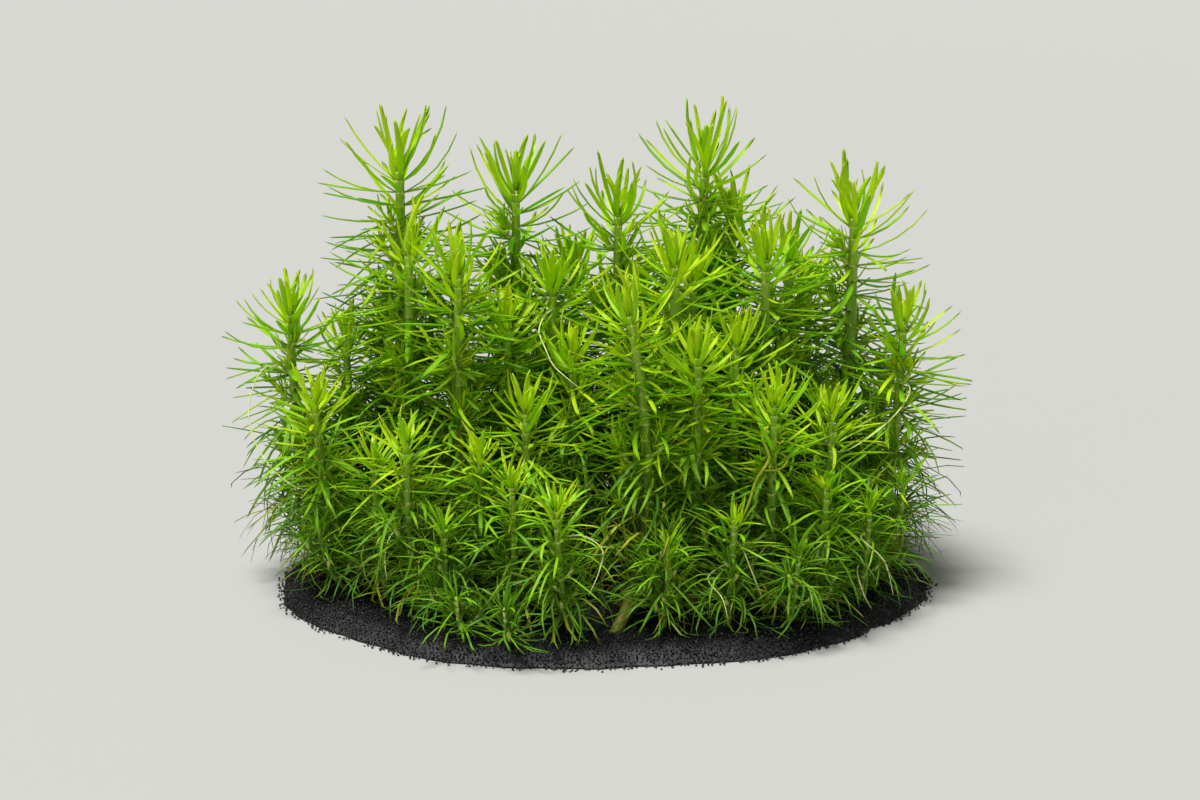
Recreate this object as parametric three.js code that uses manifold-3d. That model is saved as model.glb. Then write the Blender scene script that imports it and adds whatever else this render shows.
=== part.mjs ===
// A clump of pogostemon deccanensis, an aquarium stem plant, planted in a low bed of black gravel.
// Each shoot is one closed solid: a four-sided stem with whorls of narrow leaves fused to it. The bed
// is a low pad with a flat underside, with a pocket for the foot of each shoot.
// Millimetres, +Z up, +X to the right as seen from the front, which faces -Y.
// The origin is the middle of the bed's flat underside.
import * as THREE from "three";
import { mergeVertices } from "three/addons/utils/BufferGeometryUtils.js";
import Module from "manifold-3d";

// Driving dimensions of the gravel bed.
const BED = {
  halfLength: 125,
  halfDepth: 92,
  height: 6,
  rimWidth: 12,
  outlinePoints: 34,
  pocketDepth: 3.5,
  pocketRoom: 0.52,
};

// The waves that make the bed's rim wander: how many go round it, their share of its size, and where
// they start, in radians.
const RIM_WAVES = [
  { count: 3, share: 0.018, start: 0.6 },
  { count: 7, share: 0.012, start: 2.1 },
];

// Driving dimensions of the shoots.
const STEM = {
  topRadius: 2.1,
  footRadius: 2.8,
  nodeSwell: 1.12,
  budLength: 5,
  kneeHeight: 0.42,
  bareStep: 30,
};
const LEAF = { longest: 26.5, baseHeight: 2.6, youngShare: 1.06, grownAfter: 14, wander: 12 };
const WHORL = { leaves: 8, firstGap: 9, gapGrowth: 3, aboveBed: 5, upperShare: 0.8 };

// How far a leaf points up from square to its stem, in degrees, from the crown down to old leaves.
const POSTURE = { crown: 68, old: -14, fadeLength: 21, steepest: 76 };

// Deep inside the clump the stems have shed the leaves that get no light.
const SHADE = { innerReach: 0.62, leafyLength: 66 };

// A short shoot is a young one with shorter leaves: this share at no height, all at full height.
const YOUNG = { share: 0.62, fullHeight: 100 };

// The leaves of its crown are shorter still, in step with its height, down to the least share.
const CROWN = { fullHeight: 145, leastShare: 0.6 };

const COLOUR = { shadedLeaf: 0x3f7d12, litLeaf: 0x86b81c, gravel: 0x17181a };

// Room kept between two shoots, and between a shoot and the bed, and a length too small to matter.
const GAP = 0.3;
const TINY = 1e-4;

// How a leaf makes room: the shares of its length that it may keep, and the degrees by which it may
// lift or swing past a neighbour. A whorl is tried in a few positions round its stem.
const CROWDING = {
  lengths: [1, 0.86, 0.72, 0.58],
  lifts: [0, 10, -10, 20, -15, 30],
  swings: [0, 8, -8],
  whorlTurns: 6,
};

// Each shoot: name, the top's x, y and height, and the foot's x and y. Where the stem bends low down
// in a way of its own, the point that pulls its curve follows, and the stem is bare up to its height.
const SHOOTS = [
  ["tall_shoot_1", [-77, 42, 155], [-80, 34]],
  ["tall_shoot_2", [-33, 57, 144], [-36, 52]],
  ["tall_shoot_3", [7, 47, 136.5], [5, 42]],
  ["tall_shoot_4", [41, 67, 152.5], [38, 60]],
  ["tall_shoot_5", [97, 32, 138.5], [92, 28]],
  ["middle_shoot_1", [114, 9, 102], [102, 6]],
  ["middle_shoot_2", [63, 22, 123], [62, 18]],
  ["middle_shoot_3", [28, 7, 124], [27, 4]],
  ["middle_shoot_4", [-72, 15, 127], [-72, 8]],
  ["middle_shoot_5", [-52, -8, 123], [-52, -16]],
  ["middle_shoot_6", [-117, 12, 105], [-104, 12]],
  ["middle_shoot_7", [-18, 24, 113], [-17, 20]],
  ["middle_shoot_8", [-10, -3, 93], [-10, -6]],
  ["middle_shoot_9", [-35, 12, 102], [-34, 8]],
  ["middle_shoot_10", [-98, 32, 92], [-92, 26]],
  ["middle_shoot_11", [50, -12, 98], [48, -14]],
  ["middle_shoot_12", [84, 10, 70], [82, 10]],
  ["middle_shoot_13", [36, 38, 112], [35, 36]],
  ["middle_shoot_14", [74, 52, 118], [72, 48]],
  ["front_shoot_1", [10, -33, 114], [4, -70], [27, -42, 34]],
  ["front_shoot_2", [35, -38, 100], [33, -46]],
  ["front_shoot_3", [62, -43, 83], [60, -48]],
  ["front_shoot_4", [85, -21, 75], [82, -24]],
  ["front_shoot_5", [-104, -23, 79], [-88, -4]],
  ["front_shoot_6", [-69, -48, 70], [-66, -44]],
  ["front_shoot_7", [-31, -60, 58], [-28, -56]],
  ["front_shoot_8", [-15, -76, 54], [-10, -66]],
  ["front_shoot_9", [81, -48, 53], [78, -50]],
  ["front_shoot_10", [-27, -30, 77], [-26, -32]],
  ["front_shoot_11", [-43, -43, 64], [-41, -43]],
  ["front_shoot_12", [-82, -33, 60], [-78, -30]],
  ["low_shoot_1", [-55, -63, 43], [-53, -60]],
  ["low_shoot_2", [-50, -78, 22], [-47, -72]],
  ["low_shoot_3", [-33, -84, 20], [-30, -78]],
  ["low_shoot_4", [-103, -28, 32], [-92, -22]],
  ["low_shoot_5", [113, -13, 45], [100, -12]],
  ["low_shoot_6", [98, -36, 42], [94, -34]],
  ["low_shoot_7", [24, -70, 38], [22, -64]],
  ["low_shoot_8", [47, -66, 46], [45, -62]],
  ["low_shoot_9", [70, -64, 34], [66, -60]],
  ["back_shoot_1", [53, 80, 130], [56, 66]],
  ["back_shoot_2", [-58, 66, 100], [-56, 58]],
  ["back_shoot_3", [-86, 60, 92], [-80, 54]],
  ["back_shoot_4", [-10, 72, 112], [-10, 64]],
  ["back_shoot_5", [17, 84, 102], [16, 74]],
  ["back_shoot_6", [84, 70, 104], [76, 58]],
  ["back_shoot_7", [-33, 82, 98], [-32, 72]],
  ["back_shoot_8", [112, 44, 72], [94, 44]],
  ["back_shoot_9", [-110, 36, 62], [-97, 42]],
  ["back_shoot_10", [-72, 76, 48], [-64, 66]],
  ["back_shoot_11", [0, 88, 50], [0, 80]],
  ["back_shoot_12", [36, 88, 55], [34, 78]],
];

const STEM_SIDES = 4;
const QUARTER = Math.PI / 2;
const BETWEEN_LEAVES = (2 * Math.PI) / WHORL.leaves;
const { degToRad, euclideanModulo, lerp, clamp } = THREE.MathUtils;
const wasm = await Module();
wasm.setup();

// A number from 0 to 1 that looks random and is the same each time for the same three whole numbers:
// the last digits of a steep wave. The factors only have to be large and to share no common measure.
function chance(shoot, whorl, leaf) {
  const wave = Math.sin(shoot * 127.1 + whorl * 311.7 + leaf * 74.7) * 43758.5453;
  return wave - Math.floor(wave);
}

function solidOf(geometry) {
  const bare = geometry.clone();
  bare.deleteAttribute("normal");
  bare.deleteAttribute("uv");
  const merged = mergeVertices(bare, TINY);
  return new wasm.Manifold(
    new wasm.Mesh({
      numProp: 3,
      vertProperties: merged.attributes.position.array,
      triVerts: new Uint32Array(merged.index.array),
    }),
  );
}

function geometryOf(solid) {
  const mesh = solid.getMesh();
  const geometry = new THREE.BufferGeometry();
  geometry.setAttribute("position", new THREE.BufferAttribute(mesh.vertProperties, 3));
  geometry.setIndex(new THREE.BufferAttribute(mesh.triVerts, 1));
  geometry.computeVertexNormals();
  return geometry;
}

function geometryOfFaces(points, faces) {
  const geometry = new THREE.BufferGeometry().setFromPoints(points);
  geometry.setIndex(faces.flat());
  geometry.computeVertexNormals();
  return geometry;
}

// The stem's curve, from the floor of its pocket up to its top. It leaves the ground leaning and
// grows upright.
function stemOf([name, top, foot, knee], index) {
  const floor = BED.height - BED.pocketDepth + GAP;
  const start = new THREE.Vector3(foot[0], foot[1], floor);
  const end = new THREE.Vector3(...top);
  const pull = knee
    ? new THREE.Vector3(...knee)
    : new THREE.Vector3(end.x, end.y, lerp(floor, end.z, STEM.kneeHeight));
  const curve = new THREE.QuadraticBezierCurve3(start, pull, end);
  const reach = Math.hypot(foot[0] / BED.halfLength, foot[1] / BED.halfDepth);
  const vigour = lerp(YOUNG.share, 1, Math.min(1, end.z / YOUNG.fullHeight));
  const crownShare = clamp(end.z / CROWN.fullHeight, CROWN.leastShare, 1);
  const bareHeight = knee ? pull.z : BED.height + WHORL.aboveBed;
  const length = curve.getLength();
  return { name, index, curve, length, reach, vigour, crownShare, bareHeight };
}

// The stem's centre, direction and two side axes at a distance below its top.
function stationOf(stem, below) {
  const share = 1 - below / stem.length;
  const along = stem.curve.getTangentAt(share);
  const side = new THREE.Vector3(1, 0, 0).projectOnPlane(along).normalize();
  const across = new THREE.Vector3().crossVectors(along, side);
  return { centre: stem.curve.getPointAt(share), along, side, across };
}

function stemRadius(stem, below) {
  return lerp(STEM.topRadius, STEM.footRadius, below / stem.length);
}

function outward(station, turn) {
  return station.side
    .clone()
    .multiplyScalar(Math.cos(turn))
    .addScaledVector(station.across, Math.sin(turn));
}

function ringAt(station, radius, turn) {
  return Array.from({ length: STEM_SIDES }, (_, i) =>
    station.centre.clone().addScaledVector(outward(station, turn + i * QUARTER), radius),
  );
}

// The distances below the top at which whorls grow, each gap wider than the one above it. They are
// stretched a little so that the last whorl stands just above the bed, or where the leaves end.
function whorlPlaces(stem) {
  const step = 0.5;
  const crown = LEAF.baseHeight / 2;
  let lowest = stem.reach < SHADE.innerReach ? Math.min(SHADE.leafyLength, stem.length) : stem.length;
  while (stationOf(stem, lowest).centre.z < stem.bareHeight) lowest -= step;
  const places = [];
  let gap = WHORL.firstGap;
  for (let below = crown; below <= lowest; below += gap, gap += WHORL.gapGrowth) places.push(below);
  const stretch = places.length > 1 ? (lowest - crown) / (places.at(-1) - crown) : 1;
  return places.map((below) => crown + (below - crown) * stretch);
}

// The distances below the top of the plain rings that carry a bare stem on down to its foot.
function barePlaces(stem) {
  const start = whorlPlaces(stem).at(-1);
  const steps = Math.max(1, Math.round((stem.length - start) / STEM.bareStep));
  return Array.from({ length: steps - 1 }, (_, i) =>
    lerp(start, stem.length, (i + 1) / steps),
  );
}

function leafPosture(below) {
  return lerp(POSTURE.old, POSTURE.crown, Math.exp(-below / POSTURE.fadeLength));
}

function leafLength(stem, below) {
  const grown = Math.min(1, below / LEAF.grownAfter);
  return LEAF.longest * stem.vigour * lerp(LEAF.youngShare * stem.crownShare, 1, grown);
}

// A tapered rod, used to keep pieces clear of each other. A leaf has its whorl's level, a stem has none.
function rod({ stem, level = null }, from, to, fromRadius, toRadius) {
  const middle = from.clone().lerp(to, 0.5);
  const reach = from.distanceTo(to) / 2 + Math.max(fromRadius, toRadius);
  return { stem, level, from, to, fromRadius, toRadius, middle, reach };
}

// The free room between two rods at the place where their middle lines pass closest.
function roomBetween(a, b) {
  const u = a.to.clone().sub(a.from);
  const v = b.to.clone().sub(b.from);
  const w = a.from.clone().sub(b.from);
  const uu = u.dot(u);
  const uv = u.dot(v);
  const vv = v.dot(v);
  const uw = u.dot(w);
  const vw = v.dot(w);
  const spread = uu * vv - uv * uv;
  let s = spread > 0 ? clamp((uv * vw - vv * uw) / spread, 0, 1) : 0;
  const t = clamp((uv * s + vw) / vv, 0, 1);
  s = clamp((uv * t - uw) / uu, 0, 1);
  const gap = w.addScaledVector(u, s).addScaledVector(v, -t).length();
  return gap - lerp(a.fromRadius, a.toRadius, s) - lerp(b.fromRadius, b.toRadius, t);
}

// A leaf grows out of its own stem, beside the leaves of its own whorl.
function growsBeside(leaf, other) {
  return other.stem === leaf.stem && (other.level === null || other.level === leaf.level);
}

function isFree(candidate, rods) {
  if (candidate.to.z < BED.height + 2 * GAP) return false;
  return rods.every(
    (other) =>
      growsBeside(candidate, other) ||
      other.middle.distanceTo(candidate.middle) > other.reach + candidate.reach + GAP ||
      roomBetween(candidate, other) > GAP,
  );
}

// The longest leaf that grows free of its neighbours in one direction, or null. It starts in the
// middle of a face of the stem, and is as thick there as the face is wide.
function freeLeaf(whorl, turn, posture, rods) {
  const { station, radius } = whorl;
  const toFace = radius * Math.cos(Math.PI / STEM_SIDES);
  const direction = outward(station, turn)
    .multiplyScalar(Math.cos(posture))
    .addScaledVector(station.along, Math.sin(posture));
  const base = station.centre.clone().addScaledVector(outward(station, turn), toFace);
  for (const share of CROWDING.lengths) {
    const tip = base.clone().addScaledVector(direction, whorl.length * share);
    const leaf = rod(whorl, base, tip, toFace, 0);
    if (isFree(leaf, rods)) return leaf;
  }
  return null;
}

const lengthOf = (leaf) => (leaf ? leaf.from.distanceTo(leaf.to) : 0);

// The leaf bends past its neighbours: of a few directions near its own, it takes the freest. It never
// stands so steep that it would lean over the face of the stem that it grows from.
function growLeaf(whorl, number, rods) {
  const jitter = chance(whorl.stem.index, whorl.level, number) - 0.5;
  const turn = whorl.turn + number * BETWEEN_LEAVES;
  const posture = whorl.posture + degToRad(LEAF.wander * jitter);
  const steepest = degToRad(POSTURE.steepest);
  let best = null;
  for (const lift of CROWDING.lifts)
    for (const swing of CROWDING.swings) {
      const lifted = Math.min(posture + degToRad(lift), steepest);
      const leaf = freeLeaf(whorl, turn + degToRad(swing), lifted, rods);
      if (lengthOf(leaf) > lengthOf(best) + TINY) best = leaf;
      if (lengthOf(best) > whorl.length - TINY) return best;
    }
  return best;
}

// Turns a whorl to the position in which its leaves have the most room, and grows them.
function growWhorl(whorl, rods) {
  const numbers = Array.from({ length: WHORL.leaves }, (_, k) => k);
  const first = chance(whorl.stem.index, whorl.level, WHORL.leaves) * QUARTER;
  let most = -1;
  for (let i = 0; i < CROWDING.whorlTurns; i++) {
    const turn = first + (i * QUARTER) / CROWDING.whorlTurns;
    const room = numbers
      .map((k) => lengthOf(freeLeaf(whorl, turn + k * BETWEEN_LEAVES, whorl.posture, rods)))
      .reduce((sum, length) => sum + length);
    if (room > most + TINY) {
      most = room;
      whorl.turn = turn;
    }
  }
  whorl.leaves = numbers.map((k) => growLeaf(whorl, k, rods));
  rods.push(...whorl.leaves.filter(Boolean));
}

// The stem's straight stretches, from its top down to its foot.
function stemRods(stem) {
  const places = [...whorlPlaces(stem), ...barePlaces(stem), stem.length];
  return places.slice(1).map((below, i) => {
    const [from, to] = [places[i], below].map((place) => stationOf(stem, place).centre);
    const radius = stemRadius(stem, below) * STEM.nodeSwell;
    return rod({ stem }, from, to, radius, radius);
  });
}

// Grows the crowns of all the shoots first, then the whorls below them, level by level, so that the
// leaves that show best get the most room.
function growLeaves(stems) {
  const rods = stems.flatMap(stemRods);
  const whorls = stems.flatMap((stem) =>
    whorlPlaces(stem).map((below, level) => ({
      stem,
      level,
      below,
      station: stationOf(stem, below),
      radius: stemRadius(stem, below) * STEM.nodeSwell,
      length: leafLength(stem, below),
      posture: degToRad(leafPosture(below)),
    })),
  );
  whorls.sort((a, b) => a.level - b.level || a.stem.index - b.stem.index);
  whorls.forEach((whorl) => growWhorl(whorl, rods));
  return whorls;
}

// Adds a leaf to a small triangle of the stem: three long faces that meet at the leaf's tip. Where the
// leaf found no room, the triangle stays bare.
function coverTriangle(points, faces, triangle, leaf) {
  if (!leaf) {
    faces.push(triangle);
    return;
  }
  const [a, b, c] = triangle;
  const tip = points.push(leaf.to) - 1;
  faces.push([a, b, tip], [b, c, tip], [c, a, tip]);
}

function joinRings(faces, lower, upper) {
  for (let i = 0; i < STEM_SIDES; i++) {
    const next = (i + 1) % STEM_SIDES;
    faces.push([lower + i, lower + next, upper + i]);
    faces.push([lower + next, upper + next, upper + i]);
  }
}

// The turn nearest to the last ring's that puts the corners in the same places.
function nearestTurn(turn, last) {
  return last + euclideanModulo(turn - last + QUARTER / 2, QUARTER) - QUARTER / 2;
}

// The level ring of the foot, or of the pocket's floor around and under it. It is turned as the
// lowest whorl is, so that the stem comes out of its pocket without a twist.
function footRing(stem, lowestWhorl, extraRadius, drop) {
  const centre = stem.curve.getPoint(0);
  centre.z -= drop;
  const side = new THREE.Vector3(1, 0, 0);
  const across = new THREE.Vector3(0, 1, 0);
  return ringAt({ centre, side, across }, STEM.footRadius + extraRadius, lowestWhorl.turn);
}

// One shoot: a foot cut flat, the stem with a pair of rings at each whorl, and a pointed bud on top. The
// upper ring of a pair is the narrower one, so that the faces between them look up a little.
function shootGeometry(stem, whorls) {
  const points = footRing(stem, whorls.at(-1), 0, 0);
  const faces = [[0, 2, 1], [0, 3, 2]];
  let lower = 0;
  let turn = whorls.at(-1).turn;
  for (const below of barePlaces(stem).reverse()) {
    const ring = points.length;
    points.push(...ringAt(stationOf(stem, below), stemRadius(stem, below), turn));
    joinRings(faces, lower, ring);
    lower = ring;
  }
  for (const whorl of [...whorls].reverse()) {
    const halfHeight = LEAF.baseHeight / 2;
    const start = nearestTurn(whorl.turn, turn);
    const under = stationOf(stem, whorl.below + halfHeight);
    const over = stationOf(stem, whorl.below - halfHeight);
    const first = points.length;
    points.push(...ringAt(under, whorl.radius, start));
    points.push(...ringAt(over, whorl.radius * WHORL.upperShare, start + BETWEEN_LEAVES));
    joinRings(faces, lower, first);
    const second = first + STEM_SIDES;
    const skipped = Math.round((start - whorl.turn) / BETWEEN_LEAVES);
    const leafAt = (place) => whorl.leaves[euclideanModulo(place + skipped, WHORL.leaves)];
    for (let i = 0; i < STEM_SIDES; i++) {
      const next = (i + 1) % STEM_SIDES;
      coverTriangle(points, faces, [first + i, first + next, second + i], leafAt(2 * i + 1));
      coverTriangle(points, faces, [second + i, first + next, second + next], leafAt(2 * i + 2));
    }
    lower = second;
    turn = start + BETWEEN_LEAVES;
  }
  const top = stationOf(stem, 0);
  const bud = points.push(top.centre.clone().addScaledVector(top.along, STEM.budLength)) - 1;
  for (let i = 0; i < STEM_SIDES; i++) faces.push([lower + i, lower + ((i + 1) % STEM_SIDES), bud]);
  return geometryOfFaces(points, faces);
}

// The bed's rim wanders a little in and out, as poured gravel does.
function bedOutline() {
  const points = Array.from({ length: BED.outlinePoints }, (_, i) => {
    const angle = (i * 2 * Math.PI) / BED.outlinePoints;
    const wander = RIM_WAVES.reduce(
      (sum, wave) => sum + wave.share * Math.sin(wave.count * angle + wave.start),
      1,
    );
    return new THREE.Vector2(
      BED.halfLength * wander * Math.cos(angle),
      BED.halfDepth * wander * Math.sin(angle),
    );
  });
  return new THREE.Shape(points);
}

// The pocket follows the lean of its stem, with a little room all round and under the foot.
function pocketGeometry(stem, lowestWhorl) {
  const next = barePlaces(stem).at(-1) ?? lowestWhorl.below + LEAF.baseHeight / 2;
  const points = footRing(stem, lowestWhorl, BED.pocketRoom, GAP);
  const topRadius = stemRadius(stem, next) * STEM.nodeSwell + BED.pocketRoom;
  points.push(...ringAt(stationOf(stem, next), topRadius, lowestWhorl.turn));
  const faces = [[0, 2, 1], [0, 3, 2], [4, 5, 6], [4, 6, 7]];
  joinRings(faces, 0, STEM_SIDES);
  return geometryOfFaces(points, faces);
}

// A low mound with a rounded rim: a bevelled sheet of gravel, cut off flat at its widest.
function bedGeometry(stems, whorls) {
  const mound = new THREE.ExtrudeGeometry(bedOutline(), {
    depth: TINY,
    bevelThickness: BED.height,
    bevelSize: BED.rimWidth,
    bevelOffset: -BED.rimWidth,
    bevelSegments: 2,
    curveSegments: 1,
  });
  const ground = new THREE.BoxGeometry(4 * BED.halfLength, 4 * BED.halfDepth, 4 * BED.height);
  ground.translate(0, 0, -2 * BED.height);
  let bed = solidOf(mound).subtract(solidOf(ground));
  for (const stem of stems) {
    const lowestWhorl = whorls.findLast((whorl) => whorl.stem === stem);
    bed = bed.subtract(solidOf(pocketGeometry(stem, lowestWhorl)));
  }
  return geometryOf(bed);
}

// The tall shoots are the brightest, and the young low ones are darker in their shade.
function shootMaterial(stem) {
  const brightness = (stem.vigour - YOUNG.share) / (1 - YOUNG.share);
  return new THREE.MeshStandardMaterial({
    color: new THREE.Color(COLOUR.shadedLeaf).lerp(new THREE.Color(COLOUR.litLeaf), brightness),
    roughness: 0.5,
    metalness: 0,
    side: THREE.DoubleSide,
  });
}

function namedMesh(name, geometry, material) {
  const mesh = new THREE.Mesh(geometry, material);
  mesh.name = name;
  return mesh;
}

const group = new THREE.Group();
const stems = SHOOTS.map(stemOf);
const whorls = growLeaves(stems);
const gravel = new THREE.MeshStandardMaterial({ color: COLOUR.gravel, roughness: 0.85, metalness: 0 });
group.add(namedMesh("gravel_bed", bedGeometry(stems, whorls), gravel));
for (const stem of stems) {
  const own = whorls.filter((whorl) => whorl.stem === stem);
  group.add(namedMesh(stem.name, shootGeometry(stem, own), shootMaterial(stem)));
}

export default group;
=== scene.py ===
"""A clump of pogostemon deccanensis, an aquarium stem plant, growing in a low bed of black gravel.

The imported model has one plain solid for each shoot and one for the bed. Here each shoot gets its fine
leaves, whorl by whorl, and its small side shoots, on the same stem line. Some of them also get aerial
roots. The bed gets its grains. Lengths are in metres.
"""

import math

import bpy
import numpy as np
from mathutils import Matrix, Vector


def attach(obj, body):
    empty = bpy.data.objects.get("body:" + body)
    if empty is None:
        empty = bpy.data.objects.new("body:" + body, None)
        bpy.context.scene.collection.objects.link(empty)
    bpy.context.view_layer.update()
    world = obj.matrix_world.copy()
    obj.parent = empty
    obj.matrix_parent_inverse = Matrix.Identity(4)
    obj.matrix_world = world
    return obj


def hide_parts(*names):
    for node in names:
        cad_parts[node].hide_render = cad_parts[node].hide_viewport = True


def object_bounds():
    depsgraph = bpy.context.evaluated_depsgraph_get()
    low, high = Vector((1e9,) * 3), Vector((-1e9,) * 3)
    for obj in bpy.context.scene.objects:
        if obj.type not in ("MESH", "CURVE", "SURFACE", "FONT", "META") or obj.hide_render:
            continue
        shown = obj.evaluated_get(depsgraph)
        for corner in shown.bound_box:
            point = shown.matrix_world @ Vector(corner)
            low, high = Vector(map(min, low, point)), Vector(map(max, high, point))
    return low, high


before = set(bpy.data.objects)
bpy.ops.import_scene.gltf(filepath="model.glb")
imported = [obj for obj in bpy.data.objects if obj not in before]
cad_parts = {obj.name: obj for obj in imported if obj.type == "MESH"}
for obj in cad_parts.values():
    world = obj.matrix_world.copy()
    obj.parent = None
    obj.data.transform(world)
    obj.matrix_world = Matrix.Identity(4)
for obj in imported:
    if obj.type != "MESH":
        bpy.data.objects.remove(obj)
CAD_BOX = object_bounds()

bl_info = {
    "name": "Pogostemon deccanensis clump",
    "version": (1, 0, 0),
    "blender": (4, 5, 0),
    "location": "View3D > Sidebar > Clump",
    "description": "Grows the leaves of a clump of stem plants and strews the gravel of its bed",
    "category": "Object",
}

MM = 0.001

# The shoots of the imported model, in the order of the numbers in their names. Each is, in millimetres,
# the top's x, y and height, and the foot's x and y. Where a stem bends low down in a way of its own, the
# point that pulls its curve follows, and the stem is bare at the foot.
SHOOTS = {
    "tall_shoot": [
        ((-77, 42, 155), (-80, 34)),
        ((-33, 57, 144), (-36, 52)),
        ((7, 47, 136.5), (5, 42)),
        ((41, 67, 152.5), (38, 60)),
        ((97, 32, 138.5), (92, 28)),
    ],
    "middle_shoot": [
        ((114, 9, 102), (102, 6)),
        ((63, 22, 123), (62, 18)),
        ((28, 7, 124), (27, 4)),
        ((-72, 15, 127), (-72, 8)),
        ((-52, -8, 123), (-52, -16)),
        ((-117, 12, 105), (-104, 12)),
        ((-18, 24, 113), (-17, 20)),
        ((-10, -3, 93), (-10, -6)),
        ((-35, 12, 102), (-34, 8)),
        ((-98, 32, 92), (-92, 26)),
        ((50, -12, 98), (48, -14)),
        ((84, 10, 70), (82, 10)),
        ((36, 38, 112), (35, 36)),
        ((74, 52, 118), (72, 48)),
    ],
    "front_shoot": [
        ((10, -33, 114), (4, -70), (27, -42, 34)),
        ((35, -38, 100), (33, -46)),
        ((62, -43, 83), (60, -48)),
        ((85, -21, 75), (82, -24)),
        ((-104, -23, 79), (-88, -4)),
        ((-69, -48, 70), (-66, -44)),
        ((-31, -60, 58), (-28, -56)),
        ((-15, -76, 54), (-10, -66)),
        ((81, -48, 53), (78, -50)),
        ((-27, -30, 77), (-26, -32)),
        ((-43, -43, 64), (-41, -43)),
        ((-82, -33, 60), (-78, -30)),
    ],
    "low_shoot": [
        ((-55, -63, 43), (-53, -60)),
        ((-50, -78, 22), (-47, -72)),
        ((-33, -84, 20), (-30, -78)),
        ((-103, -28, 32), (-92, -22)),
        ((113, -13, 45), (100, -12)),
        ((98, -36, 42), (94, -34)),
        ((24, -70, 38), (22, -64)),
        ((47, -66, 46), (45, -62)),
        ((70, -64, 34), (66, -60)),
    ],
    "back_shoot": [
        ((53, 80, 130), (56, 66)),
        ((-58, 66, 100), (-56, 58)),
        ((-86, 60, 92), (-80, 54)),
        ((-10, 72, 112), (-10, 64)),
        ((17, 84, 102), (16, 74)),
        ((84, 70, 104), (76, 58)),
        ((-33, 82, 98), (-32, 72)),
        ((112, 44, 72), (94, 44)),
        ((-110, 36, 62), (-97, 42)),
        ((-72, 76, 48), (-64, 66)),
        ((0, 88, 50), (0, 80)),
        ((36, 88, 55), (34, 78)),
    ],
}

# The aerial roots, in millimetres: the thickness, whether it is an old side shoot that has lost its
# leaves (1) or a pale root (0), and the points that it passes through. Each starts inside a stem.
AERIAL_ROOTS = [
    (0.45, 0, [(-115, 11, 79), (-123.5, -4, 87), (-129, -10, 78.5), (-129, -16, 65.5), (-121.5, -22, 53.4),
               (-110, -26, 45.8), (-101, -18, 46)]),
    (0.5, 0, [(111, 8, 80), (116, 0, 78), (112.9, -6, 72.5), (104.3, -14, 66), (91.8, -24, 60.6),
              (83, -24, 59.2)]),
    (0.5, 0, [(-18, 23.6, 103), (-21, 8, 103), (-22.5, -8, 101), (-20, -13, 95.5), (-17.4, -17, 90.7),
              (-14.1, -20, 88), (-9.6, -24, 85.1), (-6.3, -27, 83.6)]),
    (0.5, 0, [(47, -65, 39), (50, -68, 36), (52.7, -70, 29.8), (56.9, -72, 19.6)]),
    (0.6, 0, [(95, -35, 20), (93, -46, 20), (95.4, -50, 12.5), (98, -51, 8)]),
    (0.6, 0, [(97, -36, 32), (95, -40, 31), (103, -44, 23.5), (106.5, -45, 11)]),
    (0.5, 0, [(46, -63, 30), (38, -68, 25.5), (42.7, -74, 20), (44.6, -78, 14)]),
    (0.55, 0, [(-13.3, -73, 42), (-6, -75, 43), (0.7, -78, 39), (-0.3, -81, 32), (-4, -84, 24)]),
    (0.5, 0, [(-68, -47, 39), (-74.5, -50, 36), (-76.8, -54, 29), (-76, -58, 21)]),
    (1.1, 1, [(62, -43, 76), (58, -45, 71), (60.2, -48, 63.6), (55.8, -52, 57.4), (52.6, -54, 47.9),
              (48.7, -56, 39.3)]),
    (0.8, 1, [(62, -43.5, 66), (67, -44, 62), (62.4, -48, 59.2), (48, -50, 60.5)]),
]

# The bed's rim wanders in and out by two waves: how many there are round it, their height as a share of
# the radius, and where they start. It is also frayed, by so many lobes that draw it in by up to a share
# of the radius.
RIM_WAVES = [(3, 0.018, 0.6), (7, 0.012, 2.1)]
RIM_LOBES = 72
RIM_FRAY = 0.028

# Half the width of a leaf along its length, as a share of its greatest: (share of the length, width).
LEAF_OUTLINE = [(0.03, 0.58), (0.25, 0.92), (0.5, 1.0), (0.74, 0.94), (0.93, 0.6)]

# The leaf's section, in half widths: its two edges, and the keel that hangs below. The groove along the
# midrib is too shallow to model, and its finish shows it. Each corner is (sideways, up, place across the
# leaf from 0 to 1).
LEAF_SECTION = [(-1, 0.25, 0), (1, 0.25, 1), (0, -0.35, 0.5)]

# What each point of a stem's path carries for the stem and for the leaves that grow there.
PATH_VALUES = {
    "leaves": "INT",
    "up": "FLOAT_VECTOR",
    "row": "FLOAT",
    "ageing": "FLOAT",
    "thickness": "FLOAT",
    "ring": "FLOAT",
    "turn": "FLOAT",
    "spread": "FLOAT",
    "rise": "FLOAT",
    "bend": "FLOAT",
    "wander": "FLOAT",
    "reach": "FLOAT",
    "breadth": "FLOAT",
}

# What stays on a finished piece: what its materials read, its map, its sharp edges and its finishes.
KEPT_VALUES = ("ageing", "ring", "chance", "along", "side", "OFBake", "sharp_edge", "material_index")

# How many sides a round stem has.
STEM_SIDES = 6

# A shoot's own map: its leaves stand in a few bands of narrow columns, and its stems in columns beside
# them.
LEAF_BANDS = 4
STEM_COLUMNS = 6


def lerp(start, end, share):
    """The value at a share of the way from start to end."""
    return start + (end - start) * share


def linear(hex_colour):
    """An sRGB hex colour as the linear colour that a shader takes."""
    channels = [int(hex_colour[i : i + 2], 16) / 255 for i in (1, 3, 5)]
    return [c / 12.92 if c <= 0.04045 else ((c + 0.055) / 1.055) ** 2.4 for c in channels] + [1]


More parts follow.
